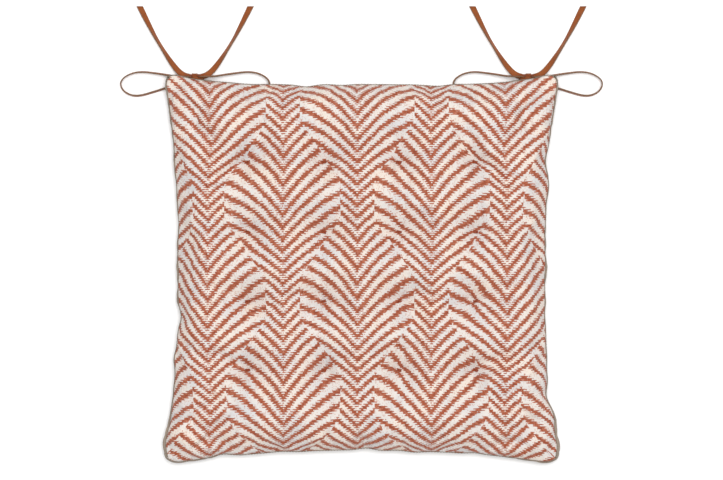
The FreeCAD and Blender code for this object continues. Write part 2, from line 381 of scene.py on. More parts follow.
def back_y(x):
    return BACK_Y + (CORNER_Y_BACK - BACK_Y) * abs(x / CORNER_X_BACK) ** BACK_POWER


def front_y(x):
    return -FRONT_Y - (CORNER_Y_FRONT - FRONT_Y) * abs(x / CORNER_X_FRONT) ** FRONT_POWER


GRID = 117                 # points along each side of a cover
EDGE_CROWD = 0.45          # how much closer the points stand near the edges


def plan_grid():
    """Plan places of the grid, with its corners rounded by their distances from the sides, the back and the
    front.
    """
    t = np.linspace(-1, 1, GRID)
    spaced = (1 - EDGE_CROWD) * t + EDGE_CROWD * np.sin(np.pi * t / 2)
    u, v = np.meshgrid(spaced, spaced, indexing="ij")
    x = u * SIDE_X
    y = v * BACK_Y
    for _ in range(40):
        x = u * side_x(y)
        y = (back_y(x) + front_y(x)) / 2 + v * (back_y(x) - front_y(x)) / 2
    side_gap = side_x(y) - abs(x)
    end_gap = np.where(v > 0, back_y(x) - y, y - front_y(x))
    radius = np.where(v > 0, ROUND_BACK, ROUND_FRONT)
    px = 1 - side_gap / radius
    py = 1 - end_gap / radius
    corner = (px > 0) & (py > 0)
    length = np.sqrt(px ** 2 + py ** 2)
    shrink = np.where(corner, np.maximum(px, py) / np.maximum(length, 1e-9), 1.0)
    new_side = np.where(corner, radius * (1 - px * shrink), side_gap)
    new_end = np.where(corner, radius * (1 - py * shrink), end_gap)
    x = np.sign(u) * (side_x(y) - new_side)
    y = np.where(v > 0, back_y(x) - new_end, front_y(x) + new_end)
    return x, y


def swell(distance, run, power):
    return 1 - np.clip(1 - distance / run, 0, 1) ** power


def gaps(x, y):
    """Distance inside the sides, the back edge and the front edge."""
    return side_x(y) - abs(x), back_y(x) - y, y - front_y(x)


def fullness(x, y, run, power):
    side, back, front = gaps(x, y)
    return swell(side, run, power) * swell(back, run, power) * swell(front, run, power)


def dimple(x, y, spread):
    total = np.zeros_like(x)
    for tx in TUFT_X:
        for ty in TUFT_Y:
            total += np.exp(-((x - tx) ** 2 + (y - ty) ** 2) / spread ** 2)
    return total


def grid_loop(count):
    """Indices round the edge of a square grid."""
    last = count - 1
    first = [(i, 0) for i in range(count)]
    second = [(last, j) for j in range(1, count)]
    third = [(i, last) for i in range(count - 2, -1, -1)]
    fourth = [(0, j) for j in range(count - 2, 0, -1)]
    return np.array(first + second + third + fourth)


LOOP = grid_loop(GRID)


def outward_of(line):
    """Level directions that point out of a closed line round the pad."""
    out = unit(np.cross(tangents(line, True), [0.0, 0.0, 1.0]))
    return out if (out * line).sum() > 0 else -out


def edge_frame(x, y):
    """For each grid point: its distance from the edge, and the direction out of the pad there."""
    edge_i, edge_j = LOOP.T
    line = np.stack([x[edge_i, edge_j], y[edge_i, edge_j], np.zeros(len(LOOP))], axis=1)
    directions = np.zeros((GRID, GRID, 2))
    directions[edge_i, edge_j] = outward_of(line)[:, :2]
    i, j = np.meshgrid(np.arange(GRID), np.arange(GRID), indexing="ij")
    to_side = np.minimum(i, GRID - 1 - i)
    to_end = np.minimum(j, GRID - 1 - j)
    near_i = np.where(to_side <= to_end, np.where(i < GRID // 2, 0, GRID - 1), i)
    near_j = np.where(to_side <= to_end, j, np.where(j < GRID // 2, 0, GRID - 1))
    distance = np.hypot(x - x[near_i, near_j], y - y[near_i, near_j])
    return distance, directions[near_i, near_j]


def seam_inset(out, y):
    """How far the seam stands inside the outline, seen from above, by the way the edge faces."""
    at_side = SEAM_INSET_SIDE - SEAM_INSET_TURN * y / CORNER_Y_FRONT
    to_side = out[..., 0] ** 2
    to_back = np.clip(out[..., 1], 0, 1) ** 2
    to_front = np.clip(-out[..., 1], 0, 1) ** 2
    return at_side * to_side + SEAM_INSET_BACK * to_back + SEAM_INSET_FRONT * to_front


def arc_length(x, y, z):
    """Place on the flat cloth: distance along the surface from the grid's middle lines."""
    points = np.stack([x, y, z], axis=-1)
    middle = GRID // 2
    along_u = np.linalg.norm(np.diff(points, axis=0), axis=-1)
    along_v = np.linalg.norm(np.diff(points, axis=1), axis=-1)
    u = np.concatenate([np.zeros((1, GRID)), np.cumsum(along_u, axis=0)], axis=0)
    v = np.concatenate([np.zeros((GRID, 1)), np.cumsum(along_v, axis=1)], axis=1)
    return u - u[middle:middle + 1, :], v - v[:, middle:middle + 1]


def build_pad():
    """Places of the top and the underside on the grid. They share the seam loop."""
    x, y = plan_grid()
    distance, out = edge_frame(x, y)
    inset = seam_inset(out, y)
    give = inset * np.clip(1 - distance / SEAM_DRAW, 0, 1) ** 2
    top_x = x - out[..., 0] * give
    top_y = y - out[..., 1] * give
    rim = SEAM_Z + SEAM_RISE
    plain_top = rim + CROWN * fullness(x, y, CROWN_RUN, CROWN_POWER)
    top_z = plain_top - TUFT_DEPTH * dimple(x, y, TUFT_SPREAD) - PIT_DEPTH * dimple(x, y, PIT_SPREAD)
    turned_in = np.interp(distance, ROLL_ALONG, ROLL_IN)
    inside_by = np.interp(distance, ROLL_ALONG, ROLL_INSIDE) * inset + turned_in
    inside_by = np.where(distance > ROLL_ALONG[-1], distance, inside_by)
    move_out = distance - inside_by
    under_x = x + out[..., 0] * move_out
    under_y = y + out[..., 1] * move_out
    belly = fullness(under_x, under_y, BELLY_RUN, BELLY_POWER)
    rolled = rim - np.interp(distance, ROLL_ALONG[:len(ROLL_DROP)], ROLL_DROP)
    start = SEAM_Z - BELLY_START
    flat_part = start - (start + BELLY_PRESS) * belly
    turn = np.clip((distance - TURN_FROM) / TURN_RUN, 0, 1)
    turn = turn * turn * (3 - 2 * turn)
    under_z = rolled * (1 - turn) + flat_part * turn
    under_z = np.maximum(under_z, FLOOR_GAP) + TUFT_LIFT * dimple(x, y, TUFT_SPREAD * 0.7)
    return dict(top=(top_x, top_y, top_z), under=(under_x, under_y, under_z),
                plain_top=plain_top, distance=distance)


pad = build_pad()
INDEX = np.arange(GRID * GRID).reshape(GRID, GRID)
on_edge = np.zeros((GRID, GRID), bool)
on_edge[0, :] = on_edge[-1, :] = on_edge[:, 0] = on_edge[:, -1] = True


def grid_quads(index, flip):
    quads = []
    for i in range(GRID - 1):
        for j in range(GRID - 1):
            quad = (index[i, j], index[i + 1, j], index[i + 1, j + 1], index[i, j + 1])
            quads.append(tuple(int(k) for k in (reversed(quad) if flip else quad)))
    return quads


top_points = np.stack(pad["top"], axis=-1).reshape(-1, 3)
under_points = np.stack(pad["under"], axis=-1).reshape(-1, 3)
under_index = INDEX.copy()
inside = ~on_edge
under_index[inside] = GRID * GRID + np.arange(inside.sum())
shell_points = np.concatenate([top_points, under_points[inside.ravel()]])
shell_faces = grid_quads(INDEX, False) + grid_quads(under_index, True)

tuft_spots = [(tx, ty) for ty in TUFT_Y for tx in TUFT_X]


def near_tufts(points, reach):
    found = np.zeros(len(points), bool)
    for tx, ty in tuft_spots:
        found |= np.hypot(points[:, 0] - tx, points[:, 1] - ty) < reach
    return found


CLOTH_FRAMES = 20


def swell_cloth(points, faces, pinned, travel_cap):
    """Blows the shell up as loose cloth on its pinned seam and tufts, and returns the points."""
    made = add_mesh("pad_shell", points, faces)
    group = made.vertex_groups.new(name="pinned")
    group.add([int(i) for i in np.flatnonzero(pinned)], 1.0, "REPLACE")
    cloth = made.modifiers.new("cloth", "CLOTH")
    settings = cloth.settings
    settings.quality = 5
    settings.mass = 0.3
    settings.air_damping = 2.0
    settings.tension_stiffness = 20
    settings.compression_stiffness = 20
    settings.shear_stiffness = 6
    settings.bending_stiffness = 0.35
    settings.shrink_min = -0.035
    settings.use_pressure = True
    settings.uniform_pressure_force = 4.0
    settings.vertex_group_mass = "pinned"
    settings.effector_weights.gravity = 0
    cloth.collision_settings.use_collision = False
    cloth.collision_settings.use_self_collision = False
    cloth.point_cache.frame_start = 1
    cloth.point_cache.frame_end = CLOTH_FRAMES
    for step in range(1, CLOTH_FRAMES + 1):
        scene.frame_set(step)
    graph = bpy.context.evaluated_depsgraph_get()
    result = made.evaluated_get(graph).data
    moved = np.array([v.co for v in result.vertices])
    bpy.data.objects.remove(made)
    scene.frame_set(1)
    travel = moved - points
    length = np.linalg.norm(travel, axis=1)
    share = np.minimum(1.0, travel_cap / np.maximum(length, 1e-9))
    return points + travel * share[:, None]


# How far the simulation may move a point: more with its distance from the seam, up to a limit.
TRAVEL_AT_SEAM = 0.0012
TRAVEL_GROWTH = 0.35
TRAVEL_TOP = 0.011
TRAVEL_UNDER = 0.0030
TUFT_HOLD = 0.0030         # points this near to a tuft don't move

edge_gap_top = pad["distance"].ravel()
edge_gap_all = np.concatenate([edge_gap_top, edge_gap_top[inside.ravel()]])
is_under = np.arange(len(shell_points)) >= GRID * GRID
cap = np.minimum(TRAVEL_AT_SEAM + TRAVEL_GROWTH * edge_gap_all, TRAVEL_TOP)
cap = np.where(is_under, np.minimum(cap, TRAVEL_UNDER), cap)
pinned = np.concatenate([on_edge.ravel(), np.zeros(inside.sum(), bool)]) | near_tufts(shell_points, TUFT_HOLD)
shell_points = swell_cloth(shell_points, shell_faces, pinned, cap)
shell_points[is_under, 2] = np.maximum(shell_points[is_under, 2], FLOOR_GAP)

top_points = shell_points[:GRID * GRID]
under_points = shell_points[under_index.ravel()]


# ---- covers ----

GATHER_IN = 0.55           # how much more cloth there is at a tuft than the plain surface has
GATHER_REACH = 0.010
GATHER_UNEVEN = 0.4        # how much it differs from tuft to tuft


def cloth_places(x, y, z):
    """The place of each grid point on its flat cloth, which is cut for the pad as it is before tufting."""
    u, v = arc_length(x, y, z)
    for k, (tx, ty) in enumerate(tuft_spots):
        dx = x - tx
        dy = y - ty
        uneven = 1 + GATHER_UNEVEN * math.sin(4.7 * k)
        drawn_in = GATHER_IN * np.exp(-(dx ** 2 + dy ** 2) / GATHER_REACH ** 2) * uneven
        u = u + dx * drawn_in
        v = v + dy * drawn_in
    return np.stack([u, v, np.zeros_like(u)], axis=-1).reshape(-1, 3)


def subdivide(made):
    modifier = made.modifiers.new("finer", "SUBSURF")
    modifier.levels = 1
    modifier.render_levels = 1
    modifier.boundary_smooth = "PRESERVE_CORNERS"
    graph = bpy.context.evaluated_depsgraph_get()
    fine = bpy.data.meshes.new_from_object(made.evaluated_get(graph))
    made.modifiers.clear()
    old = made.data
    made.data = fine
    bpy.data.meshes.remove(old)
    fine.shade_smooth()


def get_points(mesh):
    values = np.empty(len(mesh.vertices) * 3, np.float32)
    mesh.vertices.foreach_get("co", values)
    return values.reshape(-1, 3).astype(float)


def set_points(mesh, points):
    mesh.vertices.foreach_set("co", np.asarray(points, np.float32).ravel())
    mesh.update()


def edge_factor(points, run):
    side, back, front = gaps(points[:, 0], points[:, 1])
    gap = np.minimum(np.minimum(side, back), front)
    return np.clip(1 - gap / run, 0, 1)


# Fine creases that run into each tuft, and gathers along the seam.
CREASE_HEIGHT = 0.0011
CREASE_REACH = 0.017
GATHER_HEIGHT = 0.0009
GATHER_RUN = 0.030
EDGE_WAVE = 0.0003         # unevenness of the outline
# Dents (positive) and bulges of the outline: a place on it, and how deep.
DENTS = (
    (0.190, 0.111, 0.0030), (0.190, 0.084, -0.0020), (0.191, -0.127, 0.0036), (0.196, -0.150, -0.0022),
    (-0.1885, 0.045, 0.0018), (-0.1885, -0.046, 0.0034), (-0.189, -0.090, -0.0026), (-0.197, -0.170, -0.0016),
    (-0.140, -0.189, 0.0026), (0.006, -0.184, 0.0018), (0.054, -0.185, -0.0016), (0.114, -0.187, 0.0018),
    (-0.056, 0.1885, 0.0024), (0.079, 0.1885, 0.0020),
)
DENT_SPREAD = 0.011
DENT_REACH = 0.017         # how far into the pad a dent is felt


def creases(points):
    rise = np.zeros(len(points))
    for k, (tx, ty) in enumerate(tuft_spots):
        dx = points[:, 0] - tx
        dy = points[:, 1] - ty
        r = np.hypot(dx, dy)
        around = np.arctan2(dy, dx)
        lobes = 5 + (k * 7) % 3
        ripple = np.cos(lobes * around + 1.9 * k) + 0.6 * np.cos((lobes + 4) * around - 2.3 * k)
        near = np.exp(-(r / CREASE_REACH) ** 2) * np.clip(r / 0.004, 0, 1)
        rise += CREASE_HEIGHT * ripple * near * (0.6 + 0.4 * math.sin(3.1 * k))
    return rise


def gathers(points):
    around = np.arctan2(points[:, 1], points[:, 0])
    along = np.where(abs(points[:, 0]) > abs(points[:, 1]), points[:, 1], points[:, 0])
    wave = np.sin(along / 0.0041 + 2 * np.sin(3 * around)) + 0.7 * np.sin(along / 0.0067 + 5 * around)
    factor = edge_factor(points, GATHER_RUN)
    return GATHER_HEIGHT * wave * factor * (1 - factor) * 2.2


def notch(points):
    """Dents in the outline, and a slight wave all round."""
    moved = points.copy()
    near_edge = edge_factor(points, 0.030)
    around = np.arctan2(points[:, 1], points[:, 0])
    wave = np.sin(17 * around + 1.3) + 0.8 * np.sin(29 * around) + 0.5 * np.sin(43 * around + 2.0)
    moved[:, :2] += unit(points[:, :2]) * (EDGE_WAVE * wave * near_edge)[:, None]
    for dent_x, dent_y, depth in DENTS:
        on_side = abs(dent_x) > abs(dent_y)
        inward = -np.sign([dent_x, 0.0] if on_side else [0.0, dent_y])
        along, across = (1, 0) if on_side else (0, 1)
        place = (dent_x, dent_y)
        near = np.exp(-((points[:, along] - place[along]) / DENT_SPREAD) ** 2)
        near *= np.exp(-((points[:, across] - place[across]) / DENT_REACH) ** 2)
        moved[:, :2] += inward * (depth * near)[:, None]
    return moved


top_cover = add_mesh("cover_top", top_points, grid_quads(INDEX, False))
write_cloth(top_cover, cloth_places(pad["top"][0], pad["top"][1], pad["plain_top"]))
subdivide(top_cover)
fine_top = get_points(top_cover.data)
fine_top[:, 2] += creases(fine_top) + gathers(fine_top)
set_points(top_cover.data, notch(fine_top))

bottom_cover = add_mesh("cover_bottom", under_points, grid_quads(INDEX, True))
write_cloth(bottom_cover, cloth_places(*pad["under"]))
subdivide(bottom_cover)
fine_under = get_points(bottom_cover.data)
fine_under[:, 2] = np.maximum(fine_under[:, 2] + 0.3 * creases(fine_under), FLOOR_GAP)
set_points(bottom_cover.data, notch(fine_under))

# The filling follows the inside of the covers.
FILL_GAP = 0.0030
FILL_MARGIN = 7            # grid rows between the seam and the filling
fill_top = notch(top_points) - [0, 0, FILL_GAP]
fill_under = notch(under_points) + [0, 0, FILL_GAP]
keep = (np.arange(GRID) >= FILL_MARGIN) & (np.arange(GRID) < GRID - FILL_MARGIN)
kept_index = np.flatnonzero(keep)
FILL_GRID = len(kept_index)
pick = INDEX[np.ix_(kept_index, kept_index)]
fill_points = np.concatenate([fill_top[pick.ravel()], fill_under[pick.ravel()]])
second = FILL_GRID * FILL_GRID      # where the points of the underside start
fill_faces = []
for i in range(FILL_GRID - 1):
    for j in range(FILL_GRID - 1):
        a = i * FILL_GRID + j
        b = a + FILL_GRID
        fill_faces.append((a, b, b + 1, a + 1))
        fill_faces.append((second + a + 1, second + b + 1, second + b, second + a))
rim_loop = [int(i * FILL_GRID + j) for i, j in grid_loop(FILL_GRID)]
for a, b in zip(rim_loop, rim_loop[1:] + rim_loop[:1]):
    fill_faces.append((b, a, second + a, second + b))
filling = add_mesh("fibre_fill", fill_points, fill_faces)


# ---- seam and stitches ----

seam_loop = INDEX[LOOP[:, 0], LOOP[:, 1]]
seam_line = notch(top_points[seam_loop])


def resample(points, step):
    """Even points round a closed line."""
    closed = np.concatenate([points, points[:1]])
    distance = distance_along(closed)
    count = int(distance[-1] / step)
    wanted = np.arange(count) * distance[-1] / count
    return np.stack([np.interp(wanted, distance, c) for c in closed.T], axis=1)


SEAM_STEP = 0.0010
STITCH_PITCH = 3           # in seam steps
SEAM_THREAD_R = 0.00042
STITCH_STAND = 0.0001      # how far a stitch stands out of the seam at its ends
STITCH_RISE = 0.00030      # and how much more in its middle
ALLOWANCE_WIDTH = 0.0040
ALLOWANCE_INSET = 0.0002

seam_fine = resample(seam_line, SEAM_STEP)
seam_out = outward_of(seam_fine)

# Each stitch dips into the cloth at its ends. The turned-in allowance is a flat strip inside the seam.
phase = np.arange(len(seam_fine)) * np.pi / STITCH_PITCH
lift = STITCH_RISE * np.abs(np.sin(phase))
stitch_line = seam_fine + seam_out * (STITCH_STAND + lift)[:, None]
stitch_part = tube(stitch_line, SEAM_THREAD_R, 6, closed=True)
allowance_inner = seam_fine - seam_out * ALLOWANCE_WIDTH
allowance_outer = seam_fine - seam_out * ALLOWANCE_INSET
half_allowance = np.array([0, 0, 0.0003])
count = len(seam_fine)
allowance_points = np.concatenate([
    allowance_outer + half_allowance, allowance_inner + half_allowance,
    allowance_inner - half_allowance, allowance_outer - half_allowance,
])
allowance_faces = []
for i in range(count):
    k = (i + 1) % count
    for a, b in ((0, 1), (1, 2), (2, 3), (3, 0)):
        allowance_faces.append((a * count + i, a * count + k, b * count + k, b * count + i))
seam_vertices, seam_faces = join_parts([stitch_part, (allowance_points, allowance_faces)])
edge_seam = add_mesh("edge_stitching", seam_vertices, seam_faces)

CLOSING_SPAN = 0.140
CLOSING_COUNT = 21
CLOSING_THREAD_R = 0.00028


def on_back_seam(x):
    """The seam's place on the back edge at x."""
    back_part = seam_fine[seam_fine[:, 1] > 0.15]
    back_part = back_part[np.argsort(back_part[:, 0])]
    y, z = (np.interp(x, back_part[:, 0], back_part[:, k]) for k in (1, 2))
    return np.array([x, y, z])


closing_parts = []
for k in range(CLOSING_COUNT):
    x = CLOSING_SPAN * (k / (CLOSING_COUNT - 1) - 0.5)
    middle = on_back_seam(x)
    slant = 0.0005 if k % 2 else -0.0004
    line = middle + np.array([
        (-slant, -0.0006, -0.0017), (-slant * 0.6, 0.0006, -0.0011), (0, 0.0010, 0),
        (slant * 0.6, 0.0004, 0.0012), (slant, -0.0012, 0.0019),
    ])
    closing_parts.append(tube(line, CLOSING_THREAD_R, 6))
closing_vertices, closing_faces = join_parts(closing_parts)
closing = add_mesh("slot_hand_stitches", closing_vertices, closing_faces)

THREAD_R = 0.0007
STITCH_HALF = 0.0026       # half the length of a top stitch
STITCH_APART = 0.00072     # each of its two strands from the middle
STITCH_ARCH = 0.0017
STITCH_SINK = 0.0003       # its ends, into the cover
RUN_PAST = 0.001           # how far the thread runs past the underside
KNOT_RADIUS = 0.0015
KNOT_THREAD_R = 0.00055
KNOT_BELOW = 0.0022        # below the underside at the tuft
TAIL_OUT = 0.007           # the knot's short ends
TAIL_SWAY = 0.004
TAIL_FALL = 0.0012
TAIL_THREAD_R = 0.0005
TAIL_LOWEST = 0.0009       # of their middle line, above the floor


def spiral_knot(centre, radius, seed):
    """A small hand knot: a thread wound on itself."""
    t = np.linspace(0, 1, 60)
    turn = 2 * np.pi * 3.2 * t + seed
    bulge = radius * (0.75 + 0.25 * np.sin(5 * t * np.pi))
    points = np.stack([
        bulge * np.cos(turn) * (0.75 + 0.25 * np.sin(2.3 * turn)),
        bulge * np.sin(turn) * (0.75 + 0.25 * np.cos(1.7 * turn)),
        radius * 0.9 * np.cos(np.pi * t),
    ], axis=1) + centre
    return tube(points, KNOT_THREAD_R, 7)


def height_near(points, tx, ty):
    """Height of a cover at a tuft, from the four points nearest to it."""
    distance = np.hypot(points[:, 0] - tx, points[:, 1] - ty)
    return points[np.argsort(distance)[:4], 2].mean()


def make_tuft(name, k, tx, ty):
    """Two strands on top, the run through the pad, the knot below it and the knot's two short ends."""
    top_z = height_near(top_points, tx, ty)
    under_z = height_near(under_points, tx, ty)
    turn = 0.35 * math.sin(5.7 * k + 1.0)
    along = np.array([math.cos(turn), math.sin(turn), 0.0])
    across = np.array([-math.sin(turn), math.cos(turn), 0.0])
    parts = []
    for shift in (-STITCH_APART, STITCH_APART):
        t = np.linspace(-1, 1, 15)
        line = np.array([tx, ty, top_z]) + along * (STITCH_HALF * t)[:, None] + across * shift
        line[:, 2] += STITCH_ARCH * (1 - t ** 4) - STITCH_SINK
        parts.append(tube(line, THREAD_R, 8, twist=1500.0, lobes=2, lobe_height=0.22))
    run = np.linspace([tx, ty, under_z - RUN_PAST], [tx, ty, top_z], 9)
    parts.append(tube(run, THREAD_R, 8))
    knot_centre = np.array([tx, ty, under_z - KNOT_BELOW])
    parts.append(spiral_knot(knot_centre, KNOT_RADIUS, k))
    for end_sign in (-1, 1):
        t = np.linspace(0, 1, 8)
        tail = knot_centre + np.stack([
            end_sign * TAIL_OUT * t, TAIL_SWAY * np.sin(2 * t + k), -TAIL_FALL * t,
        ], axis=1)
        tail[:, 2] = np.maximum(tail[:, 2], TAIL_LOWEST)
        parts.append(tube(tail, TAIL_THREAD_R, 6))
    vertices, faces = join_parts(parts)
    return add_mesh(name, vertices, faces)


tufts = {}
for k, (tx, ty) in enumerate(tuft_spots):
    label = f"r{k // 4 + 1}_c{k % 4 + 1}"
    tufts[label] = make_tuft(f"tuft_stitch_{label}", k, tx, ty)


# ---- materials ----

class Term:
    """A value in a shader tree that can be used in ordinary arithmetic."""

    def __init__(self, graph, socket):
        self.graph = graph
        self.socket = socket

    def _do(self, operation, *others):
        return self.graph.math(operation, self, *others)

    __add__ = partialmethod(_do, "ADD")
    __sub__ = partialmethod(_do, "SUBTRACT")
    __mul__ = partialmethod(_do, "MULTIPLY")
    __truediv__ = partialmethod(_do, "DIVIDE")
    floor = partialmethod(_do, "FLOOR")
    fract = partialmethod(_do, "FRACT")
    abs = partialmethod(_do, "ABSOLUTE")
    cos = partialmethod(_do, "COSINE")
    less = partialmethod(_do, "LESS_THAN")
    min = partialmethod(_do, "MINIMUM")
    max = partialmethod(_do, "MAXIMUM")

    def wrap(self, low, high):
        return self._do("WRAP", high, low)


class Graph:
    """Builds one material's nodes."""

    def __init__(self, name):
        self.material = bpy.data.materials.new(name)
        self.material.use_nodes = True
        self.tree = self.material.node_tree
        self.nodes = self.tree.nodes
        self.shader = self.nodes["Principled BSDF"]

    def link(self, source, target):
        self.tree.links.new(source.socket if isinstance(source, Term) else source, target)

    def feed(self, value, target):
        if isinstance(value, Term):
            self.link(value, target)
        else:
            target.default_value = value

    def math(self, operation, *values):
        node = self.nodes.new("ShaderNodeMath")
        node.operation = operation
        for value, socket in zip(values, node.inputs):
            self.feed(value, socket)
        return Term(self, node.outputs[0])

    def cloth_place(self):
        """The place on the flat cloth, in metres and then in millimetres."""
        node = self.nodes.new("ShaderNodeAttribute")
        node.attribute_name = "cloth"
        split = self.nodes.new("ShaderNodeSeparateXYZ")
        self.tree.links.new(node.outputs["Vector"], split.inputs[0])
        place_u, place_v = (Term(self, split.outputs[k]) for k in (0, 1))
        return place_u, place_v, place_u * 1000.0, place_v * 1000.0

    def object_place(self):
        node = self.nodes.new("ShaderNodeTexCoord")
        return Term(self, node.outputs["Object"])

    def vector(self, x, y, z=0.0):
        node = self.nodes.new("ShaderNodeCombineXYZ")
        for value, socket in zip((x, y, z), node.inputs):
            self.feed(value, socket)
        return Term(self, node.outputs[0])

    def noise(self, place, scale, detail=2.0, roughness=0.5):
        node = self.nodes.new("ShaderNodeTexNoise")
        self.link(place, node.inputs["Vector"])
        node.inputs["Scale"].default_value = scale
        node.inputs["Detail"].default_value = detail
        node.inputs["Roughness"].default_value = roughness
        return Term(self, node.outputs[0])

    def speckle(self, place):
        node = self.nodes.new("ShaderNodeTexWhiteNoise")
        node.noise_dimensions = "3D"
        self.link(place, node.inputs["Vector"])
        return Term(self, node.outputs["Value"])

    def ramp(self, factor, *stops):
        node = self.nodes.new("ShaderNodeValToRGB")
        elements = node.color_ramp.elements
        while len(elements) < len(stops):
            elements.new(0.5)
        for element, (place, colour) in zip(elements, stops):
            element.position = place
            element.color = (*colour, 1.0)
        self.feed(factor, node.inputs[0])
        return Term(self, node.outputs[0])

    def mix(self, factor, first, second, blend="MIX"):
        node = self.nodes.new("ShaderNodeMix")
        node.data_type = "RGBA"
        node.blend_type = blend
        self.feed(factor, node.inputs[0])
        for value, socket in ((first, node.inputs[6]), (second, node.inputs[7])):
            if isinstance(value, Term):
                self.link(value, socket)
            else:
                socket.default_value = (*value, 1.0)
        return Term(self, node.outputs[2])

    def spread(self, value, low, high, to_low, to_high):
        node = self.nodes.new("ShaderNodeMapRange")
        self.feed(value, node.inputs[0])
        for number, socket in zip((low, high, to_low, to_high), node.inputs[1:5]):
            socket.default_value = number
        return Term(self, node.outputs[0])

    def bump(self, height, depth, before=None):
        node = self.nodes.new("ShaderNodeBump")
        node.inputs["Strength"].default_value = 0.48
        node.inputs["Distance"].default_value = depth
        self.link(height, node.inputs["Height"])
        if before is not None:
            self.link(before, node.inputs["Normal"])
        return Term(self, node.outputs[0])

    def finish(self, colour, roughness, normal, sheen=0.0):
        self.link(colour, self.shader.inputs["Base Color"])
        self.feed(roughness, self.shader.inputs["Roughness"])
        self.link(normal, self.shader.inputs["Normal"])
        self.shader.inputs["Sheen Weight"].default_value = sheen
        self.shader.inputs["Sheen Roughness"].default_value = 0.5
        self.shader.inputs["Specular IOR Level"].default_value = 0.25
        return self.material


CLOTH_GAIN = 0.82          # the light is stronger than 1, so cloth colours are this much darker


def linear(red, green, blue, gain=1.0):
    """Linear colour from the sRGB numbers 0 to 255."""
    shares = (value / 255 for value in (red, green, blue))
    return tuple(gain * (k / 12.92 if k <= 0.04045 else ((k + 0.055) / 1.055) ** 2.4) for k in shares)


def dyed(red, green, blue):
    return linear(red, green, blue, CLOTH_GAIN)


def weave(graph, u, v, thread):
    """Height of a plain weave, from 0 to 1, with threads that far apart."""
    across = (u / thread).floor()
    up = (v / thread).floor()
    turn = ((across + up) * 0.5).fract().less(0.25)
    bow_u = ((u / thread).fract() - 0.5).abs() * -2.0 + 1.0
    bow_v = ((v / thread).fract() - 0.5).abs() * -2.0 + 1.0
    over = turn * bow_v
    under = (turn * -1.0 + 1.0) * bow_u
    return over + under


# The jacquard of the top cover. Lengths are in millimetres on the flat cloth; the rest are shares.
STRIPE_PITCH = 12.3
COLUMN_PITCH = 74.6
FIRST_SPINE = -153.4
LEAF_HEIGHT = 196.0        # about sixteen stripes
LEAF_WIDEST = 167.0
LEAF_SWING = 20.3
LEAF_SQUARE = 1.17
ARM_SLOPE = 1.14
ARM_BEND = 0.0072
SPINE_SHIFT = 5.0
SPINE_LAG = 34.0
STRIPE_PHASE = 0.27
PICK = 1.08                # distance between two weft threads
END = 0.85                 # and between two warp threads
DUTY = 0.36                # share of the pitch that is rust in the shorter weft threads
HATCH = 0.25               # how much further every other thread reaches
SPINE_HATCH = 0.26         # and more so near a spine
SPINE_RUN = 17.0
ARM_THINNING = 0.05
ARM_RUN = 50.0
UNEVEN = 0.26


